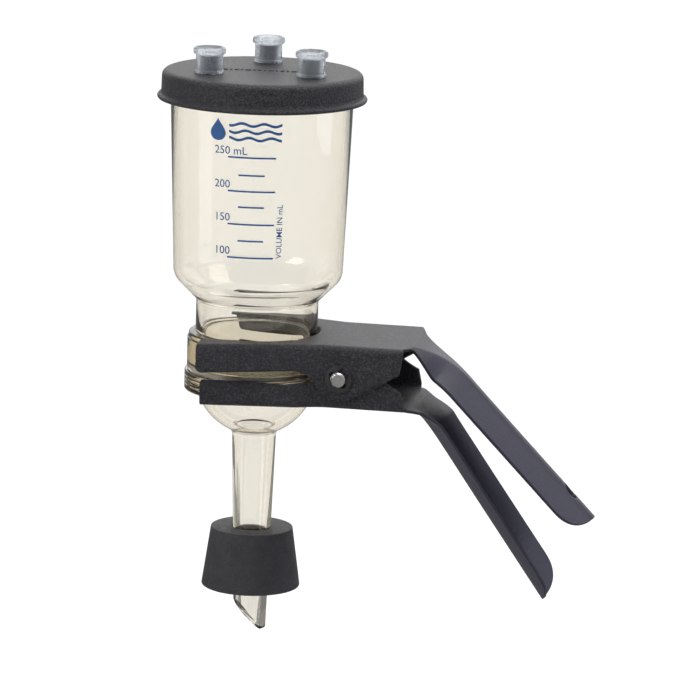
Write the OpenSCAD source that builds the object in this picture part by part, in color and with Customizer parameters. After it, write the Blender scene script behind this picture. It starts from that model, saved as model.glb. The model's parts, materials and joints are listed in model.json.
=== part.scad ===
// Reusable vacuum filter holder: a clear funnel on a clear bowl and stem, held by a spring clamp.
// Z = 0 is the bottom face of the rubber stopper, on the stem's axis. +X points along the clamp handles.

/* [Funnel] */
// Height of the bottom of the funnel's collar
collar_bottom = 91.8; // [90:0.1:94]
// Height of the top of the funnel's collar
collar_top = 107.8; // [105:0.1:108.2]
// Radius of the collar
collar_r = 28.5; // [27.5:0.1:28.8]
// Outer radius of the neck above the collar
neck_r = 25.2; // [24:0.1:25.4]
// Height of the top of the funnel
funnel_top = 214; // [205:0.5:222]
// Outer radius of the funnel just above its shoulder
cylinder_r = 34.9; // [33:0.1:35.5]
// Outer radius of the funnel under its rim
mouth_r = 37.6; // [37:0.1:38]
// Wall thickness of the funnel
funnel_wall = 2; // [1.6:0.1:2.2]
// Radius of the rim that carries the lid
rim_r = 39.2; // [38.5:0.1:39.3]

/* [Base] */
// Radius of the base flange
flange_r = 29.4; // [28.8:0.1:29.5]
// Height of the underside of the base flange
flange_bottom = 83.8; // [83.4:0.1:86]
// Outer radius of the bowl
bowl_r = 25.1; // [24.6:0.1:25.3]
// Height of the bowl's centre
bowl_z = 89.5; // [88.5:0.1:90.5]
// Wall thickness of the bowl and stem
base_wall = 2.2; // [1.8:0.1:2.4]
// Radius of the stem at its lower end
stem_tip_r = 6.65; // [6.4:0.05:7]
// Radius of the stem where it meets the bowl
stem_root_r = 9.15; // [8.6:0.05:9.6]
// Height of the stem's lowest point
stem_bottom = -18.2; // [-24:0.1:-16]

/* [Lid] */
// Radius of the lid's skirt
lid_r = 41.4; // [41.2:0.1:41.8]
// Radius of the bead round the bottom of the skirt
lid_bead_r = 43.3; // [42.8:0.1:43.6]
// Height of the bottom of the lid
lid_bottom = 204.7; // [202:0.1:206]
// Height of the top of the lid
lid_top = 216.5; // [216:0.1:217.5]
// Radius of the circle that the three ports stand on
port_circle_r = 24; // [22:0.5:27]
// Outer radius of a port
port_r = 3.7; // [3.4:0.1:4]

/* [Stopper] */
// Radius of the stopper's wide bottom
stopper_wide_r = 20.6; // [19.5:0.1:21]
// Radius of the stopper's narrow top
stopper_narrow_r = 17; // [16:0.1:17.5]
// Height of the stopper
stopper_h = 25; // [24.6:0.1:26]

/* [Clamp] */
// Sheet thickness of both jaws
sheet = 1.2; // [1:0.1:1.3]
// Distance of the pivot from the stem's axis
pivot_x = 39.4; // [39:0.1:40]
// Height of the pivot
pivot_z = 95.5; // [95.2:0.1:95.7]
// Radius of the pivot pin
pin_r = 3.1; // [2.8:0.1:3.2]
// Half the width of both handles
handle_w = 14.2; // [12:0.1:15]
// Depth of the arch across both handles
handle_arch = 7.4; // [6:0.2:7.6]
// Angle of the upper handle below level
upper_handle_deg = 45.7; // [43:0.1:47]
// Length of the upper handle past its bend
upper_handle_len = 97.3; // [90:0.1:100]
// Angle of the lower handle below level
lower_handle_deg = 54.7; // [53:0.1:57]
// Length of the lower handle past its bend
lower_handle_len = 98.7; // [90:0.1:100]

/* [Hidden] */
$fn = 96;

// Clearance between the clamp's plates and the flanges, and of each sliding or turning fit
play = 0.05;

// Membrane seat and seal
plate_r = 23.75;
plate_t = 2.2;
ring_mid_r = 25.6;
ring_wire_r = 1.2;
groove_half = ring_wire_r + 0.1;
neck_bore_r = neck_r - 2.3;

// The stem is one even taper from the bowl to its bevelled end
stem_root_z = bowl_z - sqrt(bowl_r * bowl_r - stem_root_r * stem_root_r);
stem_slope = (stem_root_r - stem_tip_r) / (stem_root_z - stem_bottom);
stem_tip_bore_r = stem_tip_r - 2.05;
bevel_deg = 45;
bevel_top_z = -6;

// Ports and caps
port_angles = [216, 336, 96];
port_top = 224;
port_bore_r = 2;
cap_r = 5.65;
cap_flange_r = 6.65;
cap_flange_t = 2.6;
cap_bottom = lid_top + 0.1;
cap_top = 227;

// Clamp levels and outlines
upper_face = collar_top + play + sheet;
lower_face = flange_bottom - play - sheet;
fork_r = 26.5;
jaw_tip_x = -17.2;
upper_tip_w = 40;
lower_tip_w = 34.5;
plate_end_x = 66.4;
upper_jaw_w = 25.9;
lower_jaw_w = 24.4;
upper_ear_r = 9.5;
lower_ear_r = 9.1;
hang_hole_r = 3.5;
hang_hole_from_tip = 14;
hang_hole_s = upper_handle_len - hang_hole_from_tip;
upper_bend_x = 75.3;
lower_bend_x = 66.3;

// Torsion spring
coil_r = 5.3;
wire_r = 0.9;
coil_turns = 7;
coil_half = 8.2;
leg_len = 25.5;
upper_leg_deg = 13.9;
lower_leg_deg = 12.5;

function smooth(t) = let (u = min(max(t, 0), 1)) u * u * (3 - 2 * u);

// Points along an arc about centre c
function arc(c, r, from, to, steps = 6) =
    [for (i = [0:steps]) let (a = from + (to - from) * i / steps) c + r * [cos(a), sin(a)]];

// The corner b between a and c, rounded with radius b[2]
function round_at(a, b, c, steps = 4) =
    let (p = [b[0], b[1]],
         u = ([a[0], a[1]] - p) / norm([a[0], a[1]] - p),
         v = ([c[0], c[1]] - p) / norm([c[0], c[1]] - p),
         half = acos(u * v) / 2,
         centre = p + (u + v) / norm(u + v) * b[2] / sin(half),
         from = p + u * b[2] / tan(half) - centre,
         to = p + v * b[2] / tan(half) - centre,
         start = atan2(from[1], from[0]),
         sweep = (atan2(to[1], to[0]) - start + 900) % 360 - 180)
    b[2] == 0 ? [p] : [for (i = [0:steps]) centre + b[2] * [cos(start + sweep * i / steps),
                                                          sin(start + sweep * i / steps)]];

// A closed outline of [x, y, corner radius] points
function rounded(p) =
    [for (i = [0:len(p) - 1]) each round_at(p[(i + len(p) - 1) % len(p)], p[i], p[(i + 1) % len(p)])];

// Mirrors the half outline of [x, half width] points to both sides of the X axis
function both_sides(half) =
    concat(half, [for (i = [len(half) - 1:-1:0]) [half[i][0], -half[i][1]]]);

// A solid cut from a side outline in the XZ plane, centred on Y
module side_cut(outline, half_w) {
    translate([0, half_w, 0])
        rotate([90, 0, 0])
            linear_extrude(2 * half_w)
                polygon(outline);
}

module along_y(r, from, to) {
    translate([pivot_x, to, pivot_z])
        rotate([90, 0, 0])
            cylinder(r = r, h = to - from);
}

// ---- Lid and caps

module at_port(i) {
    rotate([0, 0, port_angles[i]])
        translate([port_circle_r, 0, 0])
            children();
}

module lid() {
    skirt = 1.8;
    color([0.07, 0.07, 0.08])
    difference() {
        union() {
            rotate_extrude()
                polygon(concat(
                    [[0, funnel_top], [lid_r - skirt, funnel_top], [lid_r - skirt, lid_bottom],
                     [lid_bead_r - 0.6, lid_bottom]],
                    arc([lid_bead_r - 1.1, lid_bottom + 1.1], 1.1, -60, 70),
                    [[lid_r, lid_bottom + 2.6]],
                    arc([lid_r - 2.9, lid_top - 2.9], 2.9, 0, 90),
                    [[0, lid_top]]));
            for (i = [0:2])
                at_port(i)
                    translate([0, 0, lid_top - 1])
                        cylinder(r = port_r, h = port_top - lid_top + 1);
        }
        for (i = [0:2])
            at_port(i)
                translate([0, 0, funnel_top - 1])
                    cylinder(r = port_bore_r, h = port_top - funnel_top + 2);
    }
}

module port_cap(i) {
    bore = port_r + play;
    color([0.88, 0.9, 0.9, 0.7])
    at_port(i)
        rotate_extrude()
            polygon(concat(
                [[bore, cap_bottom], [cap_r + 0.15, cap_bottom], [cap_r + 0.15, cap_bottom + 0.8],
                 [cap_r, cap_bottom + 1.1], [cap_r, cap_top - cap_flange_t]],
                arc([cap_flange_r - 0.8, cap_top - cap_flange_t + 0.8], 0.8, -90, 0, 4),
                arc([cap_flange_r - 0.8, cap_top - 0.8], 0.8, 0, 90, 4),
                [[cap_flange_r - 1.6, cap_top], [cap_flange_r - 2.3, cap_top - 0.9], [0, cap_top - 0.9],
                 [0, port_top], [bore, port_top]]));
}

module port_cap_left() { port_cap(0); }
module port_cap_right() { port_cap(1); }
module port_cap_rear() { port_cap(2); }

// ---- Funnel, seal and support

module funnel() {
    shoulder_r = 8;
    // Height where the 45 degree shoulder would meet the neck and the cylinder
    neck_z = 121.6;
    corner_z = neck_z + cylinder_r - neck_r;
    reach = shoulder_r * tan(22.5);
    inner_r = shoulder_r - funnel_wall;
    centre = [cylinder_r - shoulder_r, corner_z + reach];
    inset = funnel_wall * tan(22.5);
    neck_wall = neck_r - neck_bore_r;
    color([0.93, 0.87, 0.66, 0.35])
    difference() {
        rotate_extrude()
            polygon(concat(
                [[neck_bore_r, collar_bottom], [collar_r, collar_bottom]],
                [[collar_r, collar_top - 2.6], [collar_r - 0.5, collar_top - 2.2]],
                arc([collar_r - 1.5, collar_top - 1], 1, 0, 90, 4),
                [[neck_r, collar_top]],
                arc([neck_r + 2.5, neck_z - 2.5 * tan(22.5)], 2.5, 180, 135, 4),
                arc(centre, shoulder_r, -45, 0, 8),
                [[mouth_r, funnel_top - 3.2], [rim_r, funnel_top - 3.2], [rim_r, funnel_top],
                 [mouth_r - funnel_wall, funnel_top]],
                arc(centre, inner_r, 0, -45, 8),
                [[neck_bore_r, neck_z + inset + neck_wall - funnel_wall]]));
        translate([0, 0, collar_bottom - 1])
            difference() {
                cylinder(r = ring_mid_r + groove_half, h = 1 + 2 * ring_wire_r);
                translate([0, 0, -1])
                    cylinder(r = ring_mid_r - groove_half, h = 3 + 2 * ring_wire_r);
            }
    }
}

module o_ring() {
    color([0.75, 0.32, 0.2])
    translate([0, 0, collar_bottom + ring_wire_r])
        rotate_extrude()
            translate([ring_mid_r, 0])
                circle(r = ring_wire_r, $fn = 32);
}

module support_plate() {
    hole_r = 0.9;
    pitch = 3.4;
    rows = 6;
    color([0.9, 0.88, 0.8])
    translate([0, 0, collar_bottom - plate_t])
        difference() {
            cylinder(r = plate_r, h = plate_t);
            for (i = [-rows:rows], j = [-rows:rows])
                let (p = pitch * [i + j / 2, j * sin(60)])
                    if (norm(p) < plate_r - 3.5)
                        translate([p[0], p[1], -1])
                            cylinder(r = hole_r, h = plate_t + 2, $fn = 24);
        }
}

// ---- Base and stopper

// Outer radius of the stem at a height
function stem_radius(z) = stem_tip_r + (z - stem_bottom) * stem_slope;

module filter_base() {
    groove_pitch = 1.7;
    bore = bowl_r - base_wall;
    outer_from = -asin((bowl_z - flange_bottom) / bowl_r);
    outer_to = -acos(stem_root_r / bowl_r);
    inner_r = stem_root_r - base_wall + 0.2;
    inner_to = -acos(inner_r / bore);
    recess = collar_bottom - plate_t;
    inner_from = -asin((bowl_z - recess) / bore);
    color([0.93, 0.87, 0.66, 0.35])
    difference() {
        rotate_extrude()
            polygon(concat(
                [[plate_r + 0.1, collar_bottom], [flange_r - 0.4, collar_bottom], [flange_r, collar_bottom - 0.4]],
                [for (i = [1:3]) each let (z = collar_bottom - i * groove_pitch - 0.4)
                    [[flange_r, z + 0.35], [flange_r - 0.35, z], [flange_r, z - 0.35]]],
                [[flange_r, flange_bottom + 0.3], [flange_r - 0.3, flange_bottom]],
                arc([0, bowl_z], bowl_r, outer_from, outer_to, 14),
                [[stem_tip_r, stem_bottom], [stem_tip_bore_r, stem_bottom]],
                arc([0, bowl_z], bore, inner_to, inner_from, 14),
                [[plate_r + 0.1, recess]]));
        translate([-stem_radius(bevel_top_z), 0, bevel_top_z])
            rotate([0, bevel_deg, 0])
                translate([-20, -10, -20])
                    cube([50, 20, 20]);
    }
}

module stopper() {
    edge = 0.5;
    color([0.06, 0.06, 0.06])
    rotate_extrude()
        polygon([[stem_radius(0) + play, 0], [stopper_wide_r - edge, 0], [stopper_wide_r, edge],
                 [stopper_narrow_r + 0.1, stopper_h - edge], [stopper_narrow_r - edge, stopper_h],
                 [stem_radius(stopper_h) + play, stopper_h]]);
}

// ---- Clamp

// Outer half outline of the upper jaw, brought in by inset
function upper_outline(inset) =
    [[jaw_tip_x, upper_tip_w - inset], [33.5, upper_jaw_w - inset], [plate_end_x, upper_jaw_w - inset]];

function lower_outline(inset) =
    [[jaw_tip_x, lower_tip_w - inset], [22, 28.3 - inset], [29, 25.3 - inset], [33, lower_jaw_w - inset],
     [plate_end_x, lower_jaw_w - inset]];

// Adds a point past both ends, so that the inner outline cuts right through
function run_past(half) =
    concat([[half[0][0] - 5, half[0][1] + 1]], half, [[half[len(half) - 1][0] + 5, half[len(half) - 1][1]]]);

// Flat plate with the open fork that goes round the neck or the bowl
module fork_plate(half) {
    notch_r = 1.6;
    linear_extrude(sheet)
        difference() {
            polygon(both_sides(half));
            circle(r = fork_r);
            translate([-fork_r, -fork_r])
                square([fork_r, 2 * fork_r]);
            for (side = [-1, 1])
                translate([fork_r * cos(42), side * fork_r * sin(42)])
                    circle(r = notch_r, $fn = 32);
        }
}

// Both side walls of a jaw, cut to a side outline
module skirts(outer, inner, outline) {
    intersection() {
        linear_extrude(150)
            difference() {
                polygon(both_sides(outer));
                polygon(both_sides(run_past(inner)));
            }
        side_cut(outline, 50);
    }
}

// Pressed handle: it leaves the plate flat, narrows, arches and bends down.
// outward is 1 where the plate's outer face looks up and -1 where it looks down.
module handle(start_x, bend_x, face_z, outward, bend_deg, bend_r, reach, root_w, press_len) {
    t = sheet - 0.04;
    tangent = bend_r * tan(bend_deg / 2);
    flat_len = bend_x - tangent - start_x;
    bend_len = bend_r * bend_deg * PI / 180;
    end_s = flat_len + bend_len + reach - tangent;
    across = 6;

    function angle_at(s) = min(max(s - flat_len, 0) / bend_len, 1) * bend_deg;
    function crest(s) =
        let (a = angle_at(s), past = max(s - flat_len - bend_len, 0))
        [start_x + min(s, flat_len) + bend_r * sin(a) + past * cos(a),
         face_z - bend_r * (1 - cos(a)) - past * sin(a)];
    function pressed(s) = smooth((s - 2) / press_len);
    function full_w(s) = root_w + (handle_w - root_w) * pressed(s);
    function trimmed_w(s) =
        let (into_end = s - end_s + handle_w) into_end > 0 ? sqrt(handle_w ^ 2 - into_end ^ 2) : full_w(s);
    function section(s) =
        let (a = angle_at(s), c = crest(s), n = outward * [sin(a), cos(a)],
             arch = max(handle_arch * pressed(s), 0.02),
             rho = (full_w(s) ^ 2 + arch ^ 2) / (2 * arch), w = trimmed_w(s))
        [for (layer = [0, 1]) each [for (k = [-across:across])
            let (j = layer == 0 ? k : -k, b = asin(w * j / across / rho), r = rho - layer * t,
                 down = rho - r * cos(b))
            [c[0] - down * n[0], r * sin(b), c[1] - down * n[1]]]];

    stations = concat([for (i = [0:14]) i * 2], [for (a = [0:14:84]) end_s - handle_w + handle_w * sin(a)]);
    rings = [for (s = stations) section(s)];
    m = len(rings[0]);
    last = (len(rings) - 1) * m;
    sides = [for (i = [0:len(rings) - 2], j = [0:m - 1])
        let (a = i * m + j, b = i * m + (j + 1) % m) each [[a, b, b + m], [a, b + m, a + m]]];
    caps = [for (j = [0:m / 2 - 2]) each let (k = m - 1 - j)
        [[j, k, j + 1], [j + 1, k, k - 1],
         [last + j, last + j + 1, last + k], [last + j + 1, last + k - 1, last + k]]];
    faces = concat(sides, caps);
    polyhedron([for (r = rings) each r], outward > 0 ? faces : [for (f = faces) [f[0], f[2], f[1]]]);
}

module upper_jaw() {
    outline = concat(
        [[jaw_tip_x, upper_face], [plate_end_x - 0.1, upper_face], [plate_end_x - 1.6, 97.5]],
        arc([pivot_x, pivot_z], upper_ear_r, -63, -150, 8),
        rounded([[30.6, 91.5, 0], [28.4, 95.6, 5], [23, 98.4, 5], [jaw_tip_x, 97.4, 2.5], [jaw_tip_x, 100, 0]]));
    color([0.16, 0.16, 0.18])
    difference() {
        union() {
            translate([0, 0, upper_face - sheet])
                fork_plate(upper_outline(0));
            skirts(upper_outline(0), upper_outline(sheet), outline);
            handle(65.4, upper_bend_x, upper_face - 0.02, 1, upper_handle_deg, 16, upper_handle_len,
                   upper_jaw_w - 0.02, 11);
        }
        along_y(pin_r + play, -30, 30);
        translate([upper_bend_x, 0, upper_face])
            rotate([0, upper_handle_deg, 0])
                translate([hang_hole_s, 0, -6])
                    cylinder(r = hang_hole_r, h = 10);
    }
}

module lower_jaw() {
    outline = concat(
        rounded([[jaw_tip_x + 0.8, lower_face, 0], [jaw_tip_x + 0.8, 93.5, 2], [5, 93.1, 0], [19, 92.1, 8],
                 [28, 93.2, 3], [30.6, 97, 0]]),
        arc([pivot_x, pivot_z], lower_ear_r, 155, 62, 8),
        [[plate_end_x - 1.7, 91.8], [plate_end_x, lower_face]]);
    color([0.16, 0.16, 0.18])
    difference() {
        union() {
            translate([0, 0, lower_face])
                fork_plate([for (p = lower_outline(0)) [min(p[0], plate_end_x - 4.2), p[1]]]);
            skirts(lower_outline(0), lower_outline(sheet), outline);
            handle(61.5, lower_bend_x, lower_face + 0.02, -1, lower_handle_deg, 8, lower_handle_len,
                   lower_jaw_w - 0.02, 13);
        }
        along_y(pin_r + play, -30, 30);
    }
}

module pivot_pin() {
    near_end = -28.7;
    groove = [-26.85, -25.95];
    color([0.8, 0.8, 0.82])
    union() {
        along_y(pin_r, groove[1], upper_jaw_w);
        along_y(2.4, groove[0], groove[1]);
        along_y(pin_r, near_end, groove[0]);
        along_y(4.6, upper_jaw_w, upper_jaw_w + 1.8);
    }
}

module e_clip() {
    clip_t = 0.8;
    color([0.1, 0.1, 0.1])
    translate([pivot_x, -26, pivot_z])
        rotate([90, 0, 0])
            linear_extrude(clip_t)
                difference() {
                    circle(r = 5.5);
                    circle(r = 2.42);
                    rotate(48)
                        translate([0, -2.2])
                            square([8, 4.4]);
                    for (a = [48 - 95, 48 + 95])
                        rotate(a)
                            translate([3.1, 0])
                                circle(r = 1.2, $fn = 24);
                }
}

// A coil about the pivot with one leg under the upper plate and one on the lower plate
module torsion_spring() {
    around = 8;
    per_turn = 14;
    from = 90 + upper_leg_deg;
    sweep = 180 - upper_leg_deg - lower_leg_deg + 360 * coil_turns;
    count = round(sweep / 360 * per_turn);
    function on_coil(a) = coil_r * [cos(a), sin(a)];
    function spot(i) =
        let (u = min(max(i, 0), count) / count, a = from + sweep * u, p = on_coil(a),
             along = i < 0 ? leg_len * [cos(upper_leg_deg), sin(upper_leg_deg)]
                   : i > count ? leg_len * [cos(lower_leg_deg), -sin(lower_leg_deg)] : [0, 0])
        [pivot_x + p[0] + along[0], coil_half * (1 - 2 * u), pivot_z + p[1] + along[1], a];
    function ring(i) =
        let (c = spot(i))
        [for (k = [0:around - 1]) let (b = 360 * k / around)
            [c[0] + wire_r * cos(b) * cos(c[3]), c[1] + wire_r * sin(b), c[2] + wire_r * cos(b) * sin(c[3])]];
    rings = [for (i = [-1:count + 1]) ring(i)];
    last = (len(rings) - 1) * around;
    sides = [for (i = [0:len(rings) - 2], j = [0:around - 1])
        let (a = i * around + j, b = i * around + (j + 1) % around)
        each [[a, b, b + around], [a, b + around, a + around]]];
    color([0.6, 0.6, 0.62])
    polyhedron([for (r = rings) each r],
               concat(sides, [[for (j = [around - 1:-1:0]) j], [for (j = [0:around - 1]) last + j]]));
}

lid();
port_cap_left();
port_cap_right();
port_cap_rear();
funnel();
o_ring();
support_plate();
filter_base();
stopper();
upper_jaw();
lower_jaw();
pivot_pin();
e_clip();
torsion_spring();
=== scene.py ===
import json
import math

import bmesh
import bpy
import numpy as np
from mathutils import Matrix, Vector


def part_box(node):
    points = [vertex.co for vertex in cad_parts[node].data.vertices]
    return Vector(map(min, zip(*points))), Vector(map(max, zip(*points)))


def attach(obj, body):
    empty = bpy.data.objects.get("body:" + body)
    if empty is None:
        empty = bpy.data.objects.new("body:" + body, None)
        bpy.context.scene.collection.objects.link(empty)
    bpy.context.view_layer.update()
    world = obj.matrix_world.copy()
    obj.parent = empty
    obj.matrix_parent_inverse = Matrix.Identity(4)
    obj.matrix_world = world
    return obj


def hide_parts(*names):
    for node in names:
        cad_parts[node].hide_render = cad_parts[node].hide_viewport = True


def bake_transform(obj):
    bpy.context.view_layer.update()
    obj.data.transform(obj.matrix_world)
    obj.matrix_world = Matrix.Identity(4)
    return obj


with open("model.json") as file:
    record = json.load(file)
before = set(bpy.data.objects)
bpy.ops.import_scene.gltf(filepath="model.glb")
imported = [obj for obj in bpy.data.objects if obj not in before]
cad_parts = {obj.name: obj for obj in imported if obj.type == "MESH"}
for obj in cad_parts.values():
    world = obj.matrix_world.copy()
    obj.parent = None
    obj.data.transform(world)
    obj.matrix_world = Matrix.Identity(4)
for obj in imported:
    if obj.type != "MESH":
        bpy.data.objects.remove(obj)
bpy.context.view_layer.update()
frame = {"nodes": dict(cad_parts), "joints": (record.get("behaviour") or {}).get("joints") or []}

MM = 0.001


# ---------------------------------------------------------------- levels from the frame

lid_lo, lid_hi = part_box("lid")
funnel_lo, funnel_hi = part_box("funnel")
base_lo, base_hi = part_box("filter_base")
stopper_lo, stopper_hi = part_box("stopper")
_, upper_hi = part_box("upper_jaw")
pin_lo, pin_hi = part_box("pivot_pin")
clip_lo, clip_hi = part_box("e_clip")
ring_lo, ring_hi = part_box("o_ring")
pivot = Vector(next(j["pos_m"] for j in frame["joints"] if j["name"] == "jaw_open"))
PORTS = {side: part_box("port_cap_" + side) for side in ("left", "right", "rear")}
SHEET = 1.2  # thickness of the jaws' steel
LOWER_FACE = 82.55  # level of the lower jaw's outer face
PLATE_GAP = 0.05  # from each jaw's plate to the flange it presses on
WELD = 0.003  # points nearer than this are one point


# ---------------------------------------------------------------- outlines

def arc(centre, radius, start, end, steps=8):
    """Points along an arc, with its angles in degrees."""
    angles = np.radians(np.linspace(start, end, steps + 1))
    return [(centre[0] + radius * math.cos(a), centre[1] + radius * math.sin(a)) for a in angles]


def rounded(points, steps=5, closed=True):
    """An outline of (x, y, corner radius) points with its corners rounded."""
    out = []
    count = len(points)
    for i, (x, y, radius) in enumerate(points):
        here = np.array([x, y])
        if radius <= 0 or (not closed and i in (0, count - 1)):
            out.append((x, y))
            continue
        u = np.array(points[i - 1][:2]) - here
        v = np.array(points[(i + 1) % count][:2]) - here
        u, v = u / np.linalg.norm(u), v / np.linalg.norm(v)
        half = math.acos(max(-1.0, min(1.0, float(u @ v)))) / 2
        reach = radius / math.tan(half)
        centre = here + (u + v) / np.linalg.norm(u + v) * radius / math.sin(half)
        a, b = here + u * reach - centre, here + v * reach - centre
        start = math.atan2(a[1], a[0])
        sweep = (math.atan2(b[1], b[0]) - start + 3 * math.pi) % (2 * math.pi) - math.pi
        for k in range(steps + 1):
            t = start + sweep * k / steps
            out.append((centre[0] + radius * math.cos(t), centre[1] + radius * math.sin(t)))
    return out


def in_mm(points):
    """The same outline with its millimetres turned to metres."""
    return [tuple(value * MM for value in p) for p in points]


def smooth(t):
    """0 to 1 with level ends."""
    t = min(max(t, 0.0), 1.0)
    return t * t * (3 - 2 * t)


# ---------------------------------------------------------------- meshes

def add_mesh(name, verts, faces, sharp_deg=32.0):
    mesh = bpy.data.meshes.new(name)
    mesh.from_pydata([tuple(v) for v in verts], [], faces)
    mesh.validate()
    obj = bpy.data.objects.new(name, mesh)
    bpy.context.scene.collection.objects.link(obj)
    shade(obj, sharp_deg)
    return obj


def shade(obj, sharp_deg=32.0):
    """Smooth shading that keeps every edge sharper than the angle."""
    mesh = obj.data
    mesh.polygons.foreach_set("use_smooth", [True] * len(mesh.polygons))
    mesh.set_sharp_from_angle(angle=math.radians(sharp_deg))
    mesh.update()


def lathe(name, outline, segments=192, centre=(0.0, 0.0), sharp_deg=32.0):
    """A closed (radius, z) outline turned about a vertical axis. Points on the axis become one vertex."""
    if sum(a[0] * b[1] - b[0] * a[1] for a, b in zip(outline, outline[1:] + outline[:1])) < 0:
        outline = outline[::-1]
    angles = np.linspace(0, 2 * math.pi, segments, endpoint=False)
    verts, rows = [], []
    for r, z in outline:
        if r < 1e-9:
            rows.append([len(verts)] * segments)
            verts.append((centre[0], centre[1], z))
        else:
            rows.append(list(range(len(verts), len(verts) + segments)))
            verts += [(centre[0] + r * math.cos(a), centre[1] + r * math.sin(a), z) for a in angles]
    faces = []
    for row, above in zip(rows, rows[1:] + rows[:1]):
        for i in range(segments):
            j = (i + 1) % segments
            face = []
            for v in (row[i], row[j], above[j], above[i]):
                if v not in face:
                    face.append(v)
            if len(face) > 2:
                faces.append(face)
    return add_mesh(name, verts, faces, sharp_deg)


def prism(name, outline, low, high, axis="z"):
    """An outline drawn out along z, or along y with the outline in the x-z plane."""
    count = len(outline)
    verts = []
    for level in (low, high):
        verts += [(x, y, level) if axis == "z" else (x, level, y) for x, y in outline]
    faces = [list(range(count))[::-1], list(range(count, 2 * count))]
    faces += [[i, (i + 1) % count, count + (i + 1) % count, count + i] for i in range(count)]
    obj = add_mesh(name, verts, faces)
    fix_normals(obj)
    return obj


def fix_normals(obj):
    """Turns every face outwards."""
    bm = bmesh.new()
    bm.from_mesh(obj.data)
    bmesh.ops.recalc_face_normals(bm, faces=bm.faces)
    bm.to_mesh(obj.data)
    bm.free()


def apply_all(obj):
    """Applies the object's modifiers to its mesh."""
    bpy.context.view_layer.update()
    done = obj.evaluated_get(bpy.context.evaluated_depsgraph_get())
    mesh = bpy.data.meshes.new_from_object(done)
    obj.modifiers.clear()
    old = obj.data
    obj.data = mesh
    bpy.data.meshes.remove(old)
    mesh.name = obj.name


def combine(obj, tool, operation="DIFFERENCE"):
    """Cuts tool out of obj, or joins it on, and deletes tool."""
    modifier = obj.modifiers.new("combine", "BOOLEAN")
    modifier.operation = operation
    modifier.solver = "EXACT"
    modifier.object = tool
    apply_all(obj)
    bpy.data.objects.remove(tool)


def bevel(obj, width, angle_deg=40.0, segments=2):
    """Rounds every edge sharper than the angle."""
    modifier = obj.modifiers.new("bevel", "BEVEL")
    modifier.width = width
    modifier.segments = segments
    modifier.limit_method = "ANGLE"
    modifier.angle_limit = math.radians(angle_deg)
    modifier.use_clamp_overlap = True
    apply_all(obj)


def drop_slivers(obj):
    """Welds points that coincide and removes the faces without area that a cut leaves behind."""
    bm = bmesh.new()
    bm.from_mesh(obj.data)
    bmesh.ops.remove_doubles(bm, verts=bm.verts, dist=WELD * MM)
    bmesh.ops.dissolve_degenerate(bm, edges=bm.edges, dist=WELD * MM)
    bmesh.ops.delete(bm, geom=[v for v in bm.verts if not v.link_faces], context="VERTS")
    bm.to_mesh(obj.data)
    bm.free()


def finish_piece(obj, material, body, *nodes):
    drop_slivers(obj)
    obj.data.materials.clear()
    obj.data.materials.append(material)
    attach(obj, body)
    if nodes:
        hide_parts(*nodes)
    return obj


# ---------------------------------------------------------------- materials

def new_material(name, **values):
    mat = bpy.data.materials.new(name)
    mat.use_nodes = True
    shader = mat.node_tree.nodes["Principled BSDF"]
    for key, value in values.items():
        shader.inputs[key.replace("_", " ")].default_value = value
    return mat, mat.node_tree, shader


def link_noise(tree, scale, detail=4.0, roughness=0.6):
    """Noise in the object's own metres."""
    place = tree.nodes.new("ShaderNodeTexCoord")
    noise = tree.nodes.new("ShaderNodeTexNoise")
    noise.inputs["Scale"].default_value = scale
    noise.inputs["Detail"].default_value = detail
    noise.inputs["Roughness"].default_value = roughness
    tree.links.new(place.outputs["Object"], noise.inputs["Vector"])
    return noise


def map_range(tree, source, low, high, new_low, new_high):
    node = tree.nodes.new("ShaderNodeMapRange")
    tree.links.new(source, node.inputs["Value"])
    for key, value in (("From Min", low), ("From Max", high), ("To Min", new_low), ("To Max", new_high)):
        node.inputs[key].default_value = value
    return node.outputs["Result"]


def add_bump(tree, shader, height, strength, distance):
    bump = tree.nodes.new("ShaderNodeBump")
    bump.inputs["Strength"].default_value = strength
    bump.inputs["Distance"].default_value = distance
    tree.links.new(height, bump.inputs["Height"])
    tree.links.new(bump.outputs["Normal"], shader.inputs["Normal"])
    return bump


def tint(tree, shader, source, dark, light, low=0.35, high=0.65):
    """Base colour that wanders between two tones."""
    ramp = tree.nodes.new("ShaderNodeValToRGB")
    ramp.color_ramp.elements[0].position = low
    ramp.color_ramp.elements[1].position = high
    ramp.color_ramp.elements[0].color = (*dark, 1)
    ramp.color_ramp.elements[1].color = (*light, 1)
    tree.links.new(source, ramp.inputs["Fac"])
    tree.links.new(ramp.outputs["Color"], shader.inputs["Base Color"])


def lid_plastic():
    mat, tree, shader = new_material("lid_plastic", Roughness=0.42)
    shader.inputs["IOR"].default_value = 1.46
    grain = link_noise(tree, 1300, 2.0, 0.6)
    specks = link_noise(tree, 1300, 2.0, 0.7).outputs["Fac"]
    tint(tree, shader, specks, (0.012, 0.012, 0.014), (0.060, 0.060, 0.066), 0.45, 0.74)
    tree.links.new(map_range(tree, grain.outputs["Fac"], 0.3, 0.7, 0.34, 0.5), shader.inputs["Roughness"])
    add_bump(tree, shader, grain.outputs["Fac"], 0.9, 0.8 * MM)
    return mat


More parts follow.
